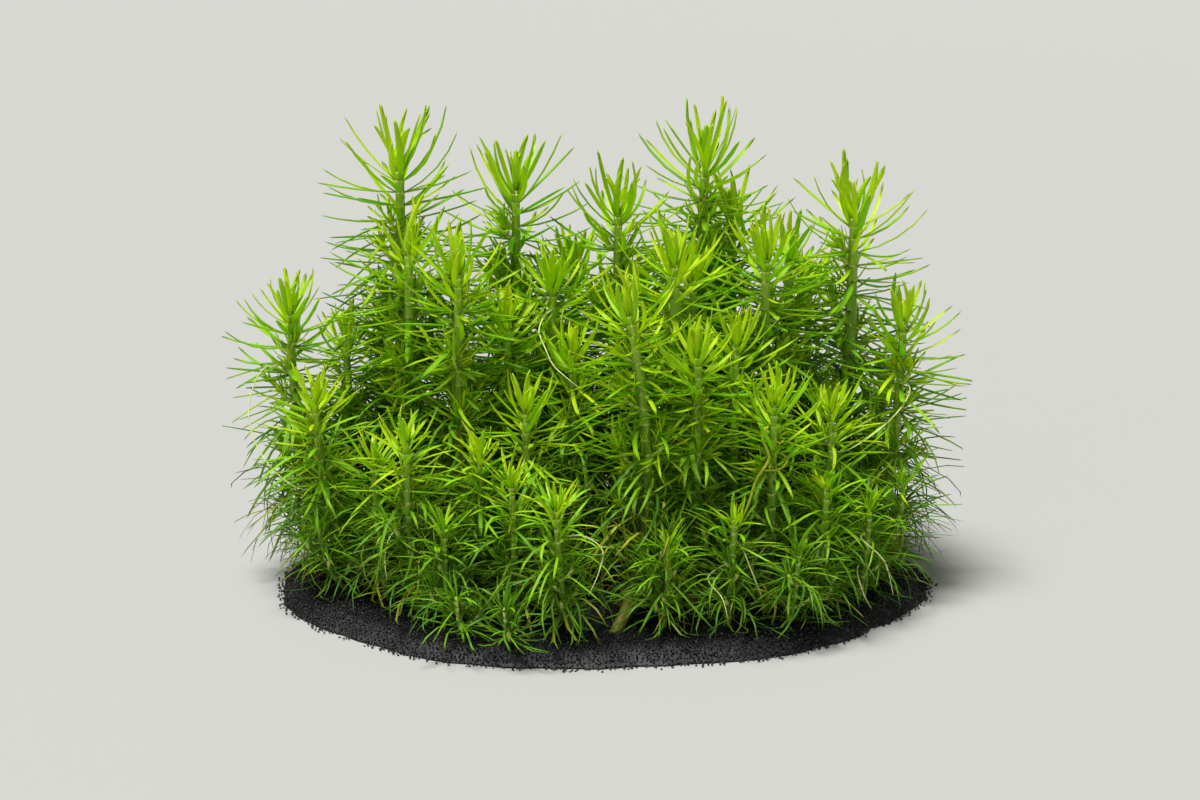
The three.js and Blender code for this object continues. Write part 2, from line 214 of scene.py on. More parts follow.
def add(tree, kind, settings=None, inputs=None):
    """Adds a node with its settings and links. The settings may be the name of an operation alone. An
    input is a plain value, a socket, or a node, which gives its first output that is in use."""
    node = tree.nodes.new(kind)
    if isinstance(settings, str):
        settings = {"operation": settings}
    for name, value in (settings or {}).items():
        setattr(node, name, value)
    pairs = inputs.items() if isinstance(inputs, dict) else enumerate(inputs or [])
    for key, value in pairs:
        socket = node.inputs[key]
        if isinstance(key, str) and not socket.enabled:
            socket = next(s for s in node.inputs if s.name == key and s.enabled)
        if isinstance(value, bpy.types.Node):
            value = next(s for s in value.outputs if s.enabled)
        if isinstance(value, bpy.types.NodeSocket):
            tree.links.new(value, socket)
        else:
            socket.default_value = value
    return node


def new_tree(name, sockets):
    """A geometry tree with named inputs, and its input node."""
    tree = bpy.data.node_groups.new(name, "GeometryNodeTree")
    tree.interface.new_socket("Geometry", in_out="INPUT", socket_type="NodeSocketGeometry")
    tree.interface.new_socket("Geometry", in_out="OUTPUT", socket_type="NodeSocketGeometry")
    for socket_name, kind in sockets.items():
        tree.interface.new_socket(socket_name, in_out="INPUT", socket_type=kind)
    return tree, add(tree, "NodeGroupInput").outputs


def new_object(name, vertices, edges=(), faces=(), values=None):
    """A mesh object at the origin, with a value for each vertex under each of the given names."""
    mesh = bpy.data.meshes.new(name)
    mesh.from_pydata(vertices, edges, faces)
    for value_name, (kind, data) in (values or {}).items():
        attribute = mesh.attributes.new(value_name, kind, "POINT")
        key = "vector" if kind == "FLOAT_VECTOR" else "value"
        number_kind = np.int32 if kind == "INT" else np.float32
        attribute.data.foreach_set(key, np.asarray(data, number_kind).ravel())
    item = bpy.data.objects.new(name, mesh)
    bpy.context.scene.collection.objects.link(item)
    return item


def grown(source, tree, inputs):
    """Runs a geometry tree on an object and turns the result into a plain mesh object of its name."""
    modifier = source.modifiers.new("Grow", "NODES")
    modifier.node_group = tree
    for item in tree.interface.items_tree:
        if item.in_out == "INPUT" and item.name in inputs:
            modifier[item.identifier] = inputs[item.name]
    evaluated = source.evaluated_get(bpy.context.evaluated_depsgraph_get())
    mesh = bpy.data.meshes.new_from_object(evaluated)
    source.modifiers.remove(modifier)
    for name in [attribute.name for attribute in mesh.attributes]:
        attribute = mesh.attributes[name]
        if name not in KEPT_VALUES and not attribute.is_required and not attribute.is_internal:
            mesh.attributes.remove(attribute)
    old = source.data
    source.data = mesh
    bpy.data.meshes.remove(old)
    mesh.name = source.name
    for slot in reversed(range(len(mesh.materials))):
        if mesh.materials[slot] is None:
            mesh.materials.pop(index=slot)
    return source


def ring_faces(rings, sectors):
    """The faces of a disc of points: a middle point, then rings of points round it, all facing up."""
    faces = [(0, 1 + i, 1 + (i + 1) % sectors) for i in range(sectors)]
    for ring in range(rings - 1):
        start = 1 + ring * sectors
        for i in range(sectors):
            after = (i + 1) % sectors
            faces.append((start + i, start + sectors + i, start + sectors + after, start + after))
    return faces


def fasten(piece, slot, *nodes):
    """The piece rides on the clump and stands for the given nodes. The slot is not used."""
    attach(piece, "root")
    if nodes:
        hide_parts(*nodes)


def length_setting(name, description, default, least):
    """A length in metres, as a setting."""
    return bpy.props.FloatProperty(
        name=name, description=description, default=default, min=least, subtype="DISTANCE", unit="LENGTH")


def colour_setting(name, description, hex_colour):
    """A colour, as a setting."""
    return bpy.props.FloatVectorProperty(
        name=name, description=description, default=linear(hex_colour)[:3], size=3, min=0, max=1,
        subtype="COLOR")


class BedSettings(bpy.types.PropertyGroup):
    """The gravel bed"""

    half_length: length_setting("Half length", "From the middle to the left or right rim", 125 * MM, 20 * MM)
    half_depth: length_setting("Half depth", "From the middle to the front or back rim", 92 * MM, 20 * MM)
    height: length_setting("Height", "Thickness of the gravel away from its rim", 6 * MM, 1 * MM)
    rim_width: length_setting("Rim width", "Width of the rounded slope at the rim", 12 * MM, 1 * MM)
    grain: length_setting("Grain", "Width of a grain of gravel", 1.3 * MM, 0.3 * MM)
    colour: colour_setting("Colour", "Colour of the gravel", "#0d0d0e")


class ShootSettings(bpy.types.PropertyGroup):
    """The leafy shoots"""

    leaf_length: length_setting("Leaf length", "Length of the longest leaves", 34 * MM, 1 * MM)
    young_width: length_setting("Young leaf width", "Width of the leaves at the top", 2.3 * MM, 0.2 * MM)
    old_width: length_setting("Old leaf width", "Width of the leaves low down", 1.65 * MM, 0.2 * MM)
    whorl_leaves: bpy.props.IntProperty(
        name="Leaves in a whorl", description="How many leaves stand round a joint",
        default=10, min=3, max=20)
    whorl_gap: length_setting("Joint spacing", "Distance between the joints of a stem", 5.7 * MM, 1 * MM)
    crown_angle: bpy.props.FloatProperty(
        name="Crown angle", description="How steeply the youngest leaves stand",
        default=math.radians(80), subtype="ANGLE", unit="ROTATION")
    old_angle: bpy.props.FloatProperty(
        name="Old leaf angle", description="How the oldest leaves stand",
        default=math.radians(-8), subtype="ANGLE", unit="ROTATION")
    opening_whorls: bpy.props.FloatProperty(
        name="Opening whorls", description="Number of whorls over which the leaves open out",
        default=3.4, min=0.1)
    side_share: bpy.props.FloatProperty(
        name="Side shoots", description="Share of the joints that bear a side shoot",
        default=0.75, min=0, max=1, subtype="FACTOR")
    top_width: length_setting("Stem width at the top", "Thickness of the young stem", 3.4 * MM, 0.2 * MM)
    grown_width: length_setting("Grown stem width", "Thickness of the grown stem", 5.2 * MM, 0.2 * MM)
    young_colour: colour_setting("Young colour", "Colour of the leaves at the top", "#d8f006")
    grown_colour: colour_setting("Grown colour", "Colour of the full-grown leaves", "#a0dc08")
    old_colour: colour_setting("Old colour", "Colour of the oldest leaves", "#4e920a")


class StageSettings(bpy.types.PropertyGroup):
    """The floor, the lights and the camera"""

    floor_colour: colour_setting("Floor colour", "Colour of the floor", "#a9a9a5")
    key_strength: bpy.props.FloatProperty(
        name="Key light", description="Strength of the soft light above", default=4.9, min=0)
    world_strength: bpy.props.FloatProperty(
        name="World light", description="Strength of the even light from all round", default=0.13, min=0)
    fill_power: bpy.props.FloatProperty(
        name="Fill light", description="Power of the soft light in front", default=0.9, min=0, unit="POWER")
    lens: bpy.props.FloatProperty(
        name="Lens", description="Focal length of the camera in millimetres", default=71, min=10)


class Stem:
    """The middle line of a stem, from its top down to its foot. Its vigour is 1 where it is full-grown.
    The crown share shortens the leaves of its crown. Leaves stand above its bare height and within
    its leafy length."""

    def __init__(self, line, vigour=1.0, girth=1.0, crown_share=1.0, bare_height=0.0, leafy_length=1.0):
        self.line = line
        steps = np.linalg.norm(np.diff(line, axis=0), axis=1)
        self.distances = np.concatenate([[0], np.cumsum(steps)])
        self.length = self.distances[-1]
        self.vigour = vigour
        self.girth = girth
        self.crown_share = crown_share
        self.bare_height = bare_height
        self.leafy_length = leafy_length

    def at(self, below):
        """The points of the line at distances below the top."""
        return np.stack([np.interp(below, self.distances, axis) for axis in self.line.T], axis=-1)

    def up(self, below):
        """The upward directions of the line at distances below the top."""
        reach = 1 * MM
        ahead = self.at(np.maximum(below - reach, 0))
        behind = self.at(np.minimum(below + reach, self.length))
        direction = ahead - behind
        return direction / np.linalg.norm(direction, axis=-1, keepdims=True)


def arc(top, pull, foot, samples=200):
    """A curved line from the top to the foot, drawn towards the pull."""
    share = np.linspace(0, 1, samples)[:, None]
    return (1 - share) ** 2 * top + 2 * share * (1 - share) * pull + share**2 * foot


def thread(points, samples=14):
    """A line that passes through all the points and bends smoothly between them."""
    ends = np.concatenate([[2 * points[0] - points[1]], points, [2 * points[-1] - points[-2]]])
    share = np.linspace(0, 1, samples, endpoint=False)[:, None]
    pieces = []
    for before, start, end, after in zip(ends, ends[1:], ends[2:], ends[3:]):
        straight = lerp(start, end, share)
        leave = (end - before) / 2 - (end - start)
        arrive = (after - start) / 2 - (end - start)
        pieces.append(straight + share * (1 - share) * ((1 - share) * leave - share * arrive))
    return np.concatenate([*pieces, points[-1:]])


def main_stem(top, foot, knee, bed):
    """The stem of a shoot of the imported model. A short shoot is weaker and thinner. Deep inside the clump,
    where there is little light, a stem has shed its lowest leaves."""
    foot_height = 2.8 * MM
    knee_share = 0.42
    weakest, strongest, thinnest = 0.62, 1.08, 0.35
    full_height = 150 * MM
    full_crown_height, least_crown = 158 * MM, 0.6
    inner_reach = 0.62
    inner_leafy_length = 105 * MM
    lowest_leaf = 8 * MM
    bare_share = 0.45
    top = np.array(top) * MM
    foot = np.array([*foot, 0]) * MM
    foot[2] = foot_height
    pull = np.array([top[0], top[1], lerp(foot[2], top[2], knee_share)])
    if knee:
        pull = np.array(knee) * MM
    outwardness = math.hypot(foot[0] / bed.half_length, foot[1] / bed.half_depth)
    grown_share = min(1, top[2] / full_height)
    return Stem(
        arc(top, pull, foot),
        vigour=lerp(weakest, strongest, grown_share),
        girth=lerp(thinnest, 1, grown_share),
        crown_share=np.clip(top[2] / full_crown_height, least_crown, 1),
        bare_height=bare_share * pull[2] if knee else lowest_leaf,
        leafy_length=inner_leafy_length if outwardness < inner_reach else 1.0,
    )


def side_stems(main, plants, rng):
    """Small side shoots that leave some of the joints and turn up towards the light. There are more of
    them near the ground, and they are longer there and where the stem is older."""
    first_joint = 11 * MM
    youngest, oldest, unevenness = 3 * MM, 18 * MM, (0.6, 1.1)
    old_below, low_height, more_when_low = 75 * MM, 45 * MM, 1.3
    pull_out, pull_up = 0.55, 0.12
    reach_out, reach_up = (0.55, 0.85), (0.45, 0.8)
    least_vigour, full_length, girth, samples = 0.3, 60 * MM, 0.4, 40
    joints = whorl_places(main, plants)
    lows = np.clip(1 - main.at(joints)[:, 2] / low_height, 0, 1)
    share = plants.side_share * (1 + more_when_low * lows)
    chosen = (joints > first_joint) & (rng.random(len(joints)) < share)
    stems = []
    for below, low in zip(joints[chosen], lows[chosen]):
        foot = main.at(below)
        age = min(1, max(below / old_below, low))
        length = lerp(youngest, oldest, age) * rng.uniform(*unevenness) * main.vigour
        turn = rng.uniform(0, 2 * math.pi)
        out = np.array([math.cos(turn), math.sin(turn), 0])
        up = np.array([0, 0, 1])
        pull = foot + length * (pull_out * out + pull_up * up)
        top = foot + length * (rng.uniform(*reach_out) * out + rng.uniform(*reach_up) * up)
        vigour = least_vigour + length / full_length
        stems.append(Stem(arc(top, pull, foot, samples), vigour, girth))
    return stems


def whorl_places(stem, plants):
    """Distances below the top at which leaves stand: crowded at the top, then evenly apart."""
    most = 80
    first = 1 * MM
    crowding = 1.8
    least_spread = 0.45
    number = np.arange(most)
    spaces = number - crowding * (1 - np.exp(-number / crowding))
    below = first + plants.whorl_gap * lerp(least_spread, 1, stem.vigour) * spaces
    below = below[below < min(stem.length, stem.leafy_length)]
    return below[stem.at(below)[:, 2] >= stem.bare_height]


def lowness(height):
    """How much a leaf lives in the dim tangle near the ground: 1 low down, and 0 from about 75 mm up."""
    at_ground, fade_height = 1.35, 56 * MM
    return np.clip(at_ground - height / fade_height, 0, 1)


def leaf_count(age, height, stem, plants):
    """How many leaves stand round a joint: few in the tight heart of a crown, more low down."""
    ages, shares = [0, 4, 10, 16], [0.62, 1, 1.05, 1.25]
    weakest, more_when_low = 0.4, 0.12
    fullness = np.interp(age, ages, shares)
    crowd = 1 + more_when_low * lowness(height)
    return np.round(plants.whorl_leaves * lerp(weakest, 1, stem.vigour) * fullness * crowd)


def leaf_posture(age, low, plants):
    """How leaves stand and bend at an age counted in whorls from the top. The opening whorls curve up
    towards the light. The old ones, and those near the ground, arch over and tangle."""
    opening_age, ageing_age, tangled_age, steepness = 3, 12, 20, 1.6
    low_tangle, low_lean = 0.8, 0.6
    most_curl, old_droop, low_droop = np.radians([45, 62, 60])
    least_wander, most_wander, heart_wander = np.radians([11, 38, 9])
    opening = age / opening_age
    aged = 1 - np.exp(-age / ageing_age)
    tangle = np.minimum(1, age / tangled_age + low_tangle * low)
    upright = np.exp(-((age / plants.opening_whorls) ** steepness)) * (1 - low_lean * low)
    curl_up = most_curl * opening * np.exp(1 - opening) * (1 - low)
    droop = old_droop * aged + low_droop * low
    return {
        "rise": lerp(plants.old_angle, plants.crown_angle, upright) - (curl_up - droop) / 2,
        "bend": curl_up - droop,
        "wander": lerp(least_wander, most_wander, tangle) + heart_wander * np.exp(-age),
    }


def leaf_size(age, low, stem, plants):
    """How long and how wide to each side leaves are at an age counted in whorls from the top. They are
    short in the heart of a crown, and thin when they are old or near the ground."""
    crown_age, ageing_age, slim_age = 3, 12, 9
    heart_loss, heart_fade, old_loss, low_gain = 0.45, 1.6, 0.15, 0.1
    low_loss, weak_power = 0.45, 0.8
    aged = 1 - np.exp(-age / ageing_age)
    crown = lerp(1, stem.crown_share, np.exp(-((age / crown_age) ** 2)))
    grown_share = 1 - heart_loss * np.exp(-heart_fade * age)
    length = crown * grown_share * (1 - old_loss * aged) * (1 + low_gain * low)
    width = lerp(plants.old_width, plants.young_width, np.exp(-age / slim_age)) * (1 - low_loss * low)
    return {
        "reach": plants.leaf_length * stem.vigour * length,
        "breadth": width / 2 * stem.vigour**weak_power,
    }


def ageing(below, height):
    """How old a shoot's green looks, from 0 to 1: older far down the stem and near the dark ground."""
    old_below, shade_height, deepest_shade = 120 * MM, 60 * MM, 0.6
    shaded = deepest_shade * np.clip(1 - height / shade_height, 0, 1)
    return np.clip(below / old_below + shaded, 0, 1)


def stem_stations(stem, whorls, joint_length, tip_length):
    """The distances below the top where a stem's line has its points: evenly apart, closer at the round
    tip, at the joints, and on both sides of each joint of a stem of some girth, which swells there."""
    longest_step, steps, least_girth = 2 * MM, 25, 0.45
    tip_shares = np.array([0.1, 0.4, 0.7])
    even = np.arange(0, stem.length, max(longest_step, stem.length / steps))
    sides = [whorls - joint_length, whorls + joint_length] if stem.girth > least_girth else []
    below = np.concatenate([even, tip_length * tip_shares, whorls, *sides, [stem.length]])
    return np.unique(below[(below >= 0) & (below <= stem.length)])


def stem_part(stem, plants, rng):
    """The points of a stem's line and their values: leaves at the joints, and the stem's thickness."""
    grown_below, swell, joint_length = 50 * MM, 0.12, 0.6 * MM
    tip_length = 3 * MM * stem.girth
    unevenness = 0.2
    whorls = whorl_places(stem, plants)
    below = stem_stations(stem, whorls, joint_length, tip_length)
    at_joint = np.isin(below, whorls)
    age = np.interp(below, whorls, np.arange(len(whorls))) if len(whorls) else below * 0
    to_joint = np.abs(below[:, None] - np.append(whorls, 1)).min(axis=1)
    ring = np.exp(-2 * (to_joint / joint_length) ** 2)
    taper = np.minimum(1, np.sqrt(below / tip_length)) * (below < stem.length)
    width = stem.girth * lerp(plants.top_width, plants.grown_width, np.minimum(1, below / grown_below))
    points = stem.at(below)
    height = points[:, 2]
    leaves = leaf_count(age, height, stem, plants)
    turn = np.cumsum(at_joint) * (2 * math.pi / leaves) / 2
    values = {
        **leaf_posture(age, lowness(height), plants),
        **leaf_size(age, lowness(height), stem, plants),
        "row": below,
        "ageing": ageing(below, height),
        "up": stem.up(below),
        "leaves": np.where(at_joint, leaves, 0),
        "thickness": width / 2 * taper * (1 + swell * ring),
        "ring": ring,
        "spread": 2 * math.pi / leaves,
        "turn": turn + rng.uniform(-unevenness, unevenness, len(below)),
    }
    return points, values


def bare_part(stem, width, age):
    """The points of a bare thread and their values. It is thinnest at its free end."""
    end_share, samples = 0.3, 40
    below = np.linspace(0, stem.length, samples)
    taper = np.minimum(1, end_share + 2 * below / stem.length) * (below > 0) * (below < stem.length)
    values = {name: np.zeros(len(below)) for name in PATH_VALUES}
    values["up"] = stem.up(below)
    values["row"] = below
    values["ageing"] = np.full(len(below), age)
    values["thickness"] = width / 2 * taper
    return stem.at(below), values


def path_object(name, parts):
    """A path object of several lines of points with their values. Each line gets its own rows in the
    piece's map."""
    space = 1 * MM
    lengths = np.array([values["row"].max() + space for _, values in parts])
    edges = []
    count = 0
    for (points, values), start in zip(parts, np.cumsum(lengths) - lengths):
        values["row"] = (start + values["row"]) / lengths.sum()
        edges += [(i, i + 1) for i in range(count, count + len(points) - 1)]
        count += len(points)
    typed = {key: (kind, np.concatenate([values[key] for _, values in parts]))
             for key, kind in PATH_VALUES.items()}
    return new_object(name, np.concatenate([points for points, _ in parts]), edges, values=typed)


def leaf_blank():
    """One flat leaf of length 1 that the tree sets out: what counts is each point's place along it,
    across it and in its section. Its ends are closed, and its two edges are sharp."""
    rows = [(0, 0.5, (0, 0, 0))]
    for share, width in LEAF_OUTLINE:
        rows += [(share, across, (0, sideways * width, up * width)) for sideways, up, across in LEAF_SECTION]
    rows.append((1, 0.5, (0, 0, 0)))
    along, side, section = zip(*rows)
    points = [(share, y, z) for share, (_, y, z) in zip(along, section)]
    corners = len(LEAF_SECTION)
    tip = len(points) - 1
    faces = []
    for i in range(corners):
        after = (i + 1) % corners
        faces.append((0, 1 + i, 1 + after))
        for start in range(1, tip - corners, corners):
            faces.append((start + i, start + corners + i, start + corners + after, start + after))
        faces.append((tip - corners + i, tip, tip - corners + after))
    blank = new_object("leaf_blank", points, (), faces, {
        "along": ("FLOAT", along),
        "side": ("FLOAT", side),
        "section": ("FLOAT_VECTOR", section),
        "leafy": ("FLOAT", [1.0] * len(points)),
    })
    sharp = blank.data.attributes.new("sharp_edge", "BOOLEAN", "EDGE")
    for edge, mark in zip(blank.data.edges, sharp.data):
        ends = [side[v] for v in edge.vertices]
        mark.value = ends in ([0, 0], [1, 1])
    return blank


def shoot_tree():
    """The tree that turns a path into a shoot: a round stem along the path, and leaves at its joints."""
    tree, given = new_tree("Leafy shoot", {
        "Leaf": "NodeSocketObject",
        "Stem sides": "NodeSocketInt",
        "Leaf columns": "NodeSocketInt",
        "Seed": "NodeSocketInt",
        "Lowest": "NodeSocketVector",
        "Highest": "NodeSocketVector",
        "Leaf finish": "NodeSocketMaterial",
        "Stem finish": "NodeSocketMaterial",
    })
    kinds = {**PATH_VALUES, "out": "FLOAT_VECTOR", "root": "FLOAT_VECTOR", "section": "FLOAT_VECTOR",
             "sway": "FLOAT", "number": "INT", "chance": "FLOAT", "along": "FLOAT", "side": "FLOAT",
             "leafy": "FLOAT"}
    value = {
        name: add(tree, "GeometryNodeInputNamedAttribute", {"data_type": kind}, {"Name": name})
        for name, kind in kinds.items()
    }
    stem = stem_mesh(tree, given, value)
    leaves = leaf_instances(tree, given, value)
    both = add(tree, "GeometryNodeJoinGeometry")
    tree.links.new(leaves.outputs[0], both.inputs[0])
    tree.links.new(stem.outputs[0], both.inputs[0])
    real = add(tree, "GeometryNodeRealizeInstances", {}, [both])
    is_leaf = add(tree, "FunctionNodeCompare", "GREATER_THAN", [value["leafy"], 0.5])
    bent = add(tree, "GeometryNodeSetPosition", {}, {
        "Geometry": real, "Selection": is_leaf, "Position": leaf_position(tree, given, value)})
    mapped = add(tree, "GeometryNodeStoreNamedAttribute", {"data_type": "FLOAT2", "domain": "CORNER"}, {
        "Geometry": bent, "Name": "OFBake", "Value": map_place(tree, given, value, is_leaf)})
    green = add(tree, "GeometryNodeSetMaterial", {}, {"Geometry": mapped, "Material": given["Stem finish"]})
    done = add(tree, "GeometryNodeSetMaterial", {}, {
        "Geometry": green, "Selection": is_leaf, "Material": given["Leaf finish"]})
    add(tree, "NodeGroupOutput", {}, [done])
    return tree


def stem_mesh(tree, given, value):
    """A round tube along the path, closed at both ends because its thickness ends at nothing."""
    line = add(tree, "GeometryNodeMeshToCurve", {}, [given["Geometry"]])
    circle = add(tree, "GeometryNodeCurvePrimitiveCircle", {}, {
        "Resolution": given["Stem sides"], "Radius": 1.0})
    index = add(tree, "GeometryNodeInputIndex")
    round_share = add(tree, "ShaderNodeMath", "DIVIDE", [index, given["Stem sides"]])
    doubled = add(tree, "ShaderNodeMath", "MULTIPLY_ADD", [round_share, 2.0, -1.0])
    mirrored = add(tree, "ShaderNodeMath", "ABSOLUTE", [doubled])
    profile = add(tree, "GeometryNodeStoreNamedAttribute", {"data_type": "FLOAT", "domain": "POINT"}, {
        "Geometry": circle, "Name": "side", "Value": mirrored})
    tube = add(tree, "GeometryNodeCurveToMesh", {}, {
        "Curve": line, "Profile Curve": profile, "Scale": value["thickness"]})
    return add(tree, "GeometryNodeMergeByDistance", {}, {"Geometry": tube, "Distance": 0.002 * MM})


def leaf_instances(tree, given, value):
    """A leaf blank for each leaf, with the values that set it out. Each leaf has a length and width of
    its own, and turns, rises, bends and sways in its own way."""
    copies = add(tree, "GeometryNodeDuplicateElements", {"domain": "POINT"}, {
        "Geometry": given["Geometry"], "Amount": value["leaves"]})
    angles, sizes = leaf_chances(tree, given)
    turn = add(tree, "ShaderNodeMath", "MULTIPLY_ADD", [
        copies.outputs["Duplicate Index"], value["spread"], value["turn"]])
    turn = add(tree, "ShaderNodeMath", "MULTIPLY_ADD", [angles.outputs["X"], value["wander"], turn])
    root, out = leaf_root(tree, value, turn)
    stored = {
        "number": ("INT", add(tree, "GeometryNodeInputIndex")),
        "chance": ("FLOAT", sizes.outputs["Y"]),
        "root": ("FLOAT_VECTOR", root),
        "out": ("FLOAT_VECTOR", out),
    }
    for name, axis in (("rise", "Y"), ("bend", "Z")):
        own_angle = add(tree, "ShaderNodeMath", "MULTIPLY_ADD", [
            angles.outputs[axis], value["wander"], value[name]])
        stored[name] = ("FLOAT", own_angle)
    shares = {"reach": ("X", "reach", 0.7, 1.0), "breadth": ("Y", "breadth", 0.75, 1.15),
              "sway": ("Z", "wander", -1.0, 1.0)}
    for name, (axis, whole, least, most) in shares.items():
        share = add(tree, "ShaderNodeMapRange", {}, {
            "Value": sizes.outputs[axis], "To Min": least, "To Max": most})
        stored[name] = ("FLOAT", add(tree, "ShaderNodeMath", "MULTIPLY", [value[whole], share]))
    points = copies.outputs["Geometry"]
    for name, (kind, field) in stored.items():
        points = add(tree, "GeometryNodeStoreNamedAttribute", {"data_type": kind, "domain": "POINT"}, {
            "Geometry": points, "Name": name, "Value": field})
    blank = add(tree, "GeometryNodeObjectInfo", {}, {"Object": given["Leaf"]})
    return add(tree, "GeometryNodeInstanceOnPoints", {}, {
        "Points": points, "Instance": blank.outputs["Geometry"]})


def leaf_chances(tree, given):
    """The chance values of each leaf: from -1 to 1 for its angles, more for its bend, and from 0 to 1 for
    its sizes."""
    most_bend = 1.7
    seed_step = 1000.0
    jitter = add(tree, "FunctionNodeRandomValue", {"data_type": "FLOAT_VECTOR"}, {
        "Min": (-1, -1, -most_bend), "Max": (1, 1, most_bend), "Seed": given["Seed"]})
    other_seed = add(tree, "ShaderNodeMath", "ADD", [given["Seed"], seed_step])
    spread = add(tree, "FunctionNodeRandomValue", {"data_type": "FLOAT_VECTOR"}, {
        "Min": (0, 0, 0), "Max": (1, 1, 1), "Seed": other_seed})
    return [add(tree, "ShaderNodeSeparateXYZ", {}, [chances]) for chances in (jitter, spread)]


def leaf_root(tree, value, turn):
    """Where a leaf leaves its stem, a little under the skin, and the way it points out from there."""
    root_share = 0.7
    sideways = add(tree, "ShaderNodeVectorMath", "CROSS_PRODUCT", [(0, 1, 0), value["up"]])
    level = add(tree, "ShaderNodeVectorMath", "NORMALIZE", [sideways])
    out = add(tree, "ShaderNodeVectorRotate", {"rotation_type": "AXIS_ANGLE"}, {
        "Vector": level, "Axis": value["up"], "Angle": turn})
    inset = add(tree, "ShaderNodeMath", "MULTIPLY", [value["thickness"], root_share])
    to_skin = add(tree, "ShaderNodeVectorMath", "SCALE", {"Vector": out, "Scale": inset})
    place = add(tree, "GeometryNodeInputPosition")
    return add(tree, "ShaderNodeVectorMath", "ADD", [place, to_skin]), out


def leaf_position(tree, given, value):
    """Where a point of a leaf lies. The leaf's line is an arc that leaves the stem at its rise and
    turns by its bend, and the section stands square to it. A leaf that comes down to the gravel lies
    along it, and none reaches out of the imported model's box."""
    lowest_rest, highest_rest = 7.2 * MM, 9.4 * MM
    hinge = add(tree, "ShaderNodeVectorMath", "CROSS_PRODUCT", [value["out"], value["up"]])
    halfway = add(tree, "ShaderNodeMath", "MULTIPLY", [value["along"], 0.5])
    mean_angle = add(tree, "ShaderNodeMath", "MULTIPLY_ADD", [value["bend"], halfway, value["rise"]])
    own_angle = add(tree, "ShaderNodeMath", "MULTIPLY_ADD", [value["bend"], value["along"], value["rise"]])
    forward = add(tree, "ShaderNodeVectorRotate", {"rotation_type": "AXIS_ANGLE"}, {
        "Vector": value["out"], "Axis": hinge, "Angle": mean_angle})
    normal = add(tree, "ShaderNodeVectorRotate", {"rotation_type": "AXIS_ANGLE"}, {
        "Vector": value["up"], "Axis": hinge, "Angle": own_angle})
    distance = add(tree, "ShaderNodeMath", "MULTIPLY", [value["reach"], value["along"]])
    drift = add(tree, "ShaderNodeMath", "MULTIPLY", [value["sway"], value["along"]])
    drift = add(tree, "ShaderNodeMath", "MULTIPLY", [drift, distance])
    place = value["root"]
    for direction, amount in ((forward, distance), (hinge, drift)):
        place = add(tree, "ShaderNodeVectorMath", "MULTIPLY_ADD", [direction, amount, place])
    resting_height = add(tree, "ShaderNodeMapRange", {}, {
        "Value": value["chance"], "To Min": lowest_rest, "To Max": highest_rest})
    resting = add(tree, "ShaderNodeCombineXYZ", {}, {"X": -1.0, "Y": -1.0, "Z": resting_height})
    limits = (("MAXIMUM", resting), ("MAXIMUM", given["Lowest"]), ("MINIMUM", given["Highest"]))
    for limit, bound in limits:
        place = add(tree, "ShaderNodeVectorMath", limit, [place, bound])
    section = add(tree, "ShaderNodeSeparateXYZ", {}, [value["section"]])
    for direction, part in ((hinge, "Y"), (normal, "Z")):
        amount = add(tree, "ShaderNodeMath", "MULTIPLY", [section.outputs[part], value["breadth"]])
        place = add(tree, "ShaderNodeVectorMath", "MULTIPLY_ADD", [direction, amount, place])
    return place


def map_place(tree, given, value, is_leaf):
    """A place in the piece's own map: bands of columns with a leaf in each, and the stems beside them.
    A leaf or stem leaves a margin in its column, a leaf another in its band, and all keep off the edge."""
    margin = 0.1
    leaf_share = 0.96
    edge = 0.005
    columns = add(tree, "ShaderNodeMath", "ADD", [given["Leaf columns"], float(STEM_COLUMNS)])
    in_column = add(tree, "ShaderNodeMath", "MULTIPLY_ADD", [value["side"], 1 - 2 * margin, margin])
    share = add(tree, "ShaderNodeMath", "DIVIDE", [value["number"], float(LEAF_BANDS)])
    whole = add(tree, "ShaderNodeMath", "FLOOR", [share])
    band = add(tree, "ShaderNodeMath", "FRACT", [share])
    leaf_column = add(tree, "ShaderNodeMath", "ADD", [whole, in_column])
    leaf_row = add(tree, "ShaderNodeMath", "MULTIPLY_ADD", [value["along"], leaf_share / LEAF_BANDS, band])
    stem_column = add(tree, "ShaderNodeMath", "MULTIPLY_ADD", [
        in_column, float(STEM_COLUMNS), given["Leaf columns"]])
    column = add(tree, "GeometryNodeSwitch", {"input_type": "FLOAT"}, [is_leaf, stem_column, leaf_column])
    row = add(tree, "GeometryNodeSwitch", {"input_type": "FLOAT"}, [is_leaf, value["row"], leaf_row])
    across = add(tree, "ShaderNodeMath", "DIVIDE", [column, columns])
    inside = add(tree, "ShaderNodeMapRange", {}, {"Value": row, "To Min": edge, "To Max": 1 - edge})
    return add(tree, "ShaderNodeCombineXYZ", {}, [across, inside])


def new_material(name):
    """A material and its tree, which is empty."""
    material = bpy.data.materials.new(name)
    material.use_nodes = True
    material.node_tree.nodes.clear()
    return material, material.node_tree


def colour_steps(node, steps):
    """Sets the colours of a ramp: pairs of a place and a linear colour."""
    elements = node.color_ramp.elements
    while len(elements) < len(steps):
        elements.new(0.5)
    for element, (place, colour) in zip(elements, steps):
        element.position = place
        element.color = colour
    return node


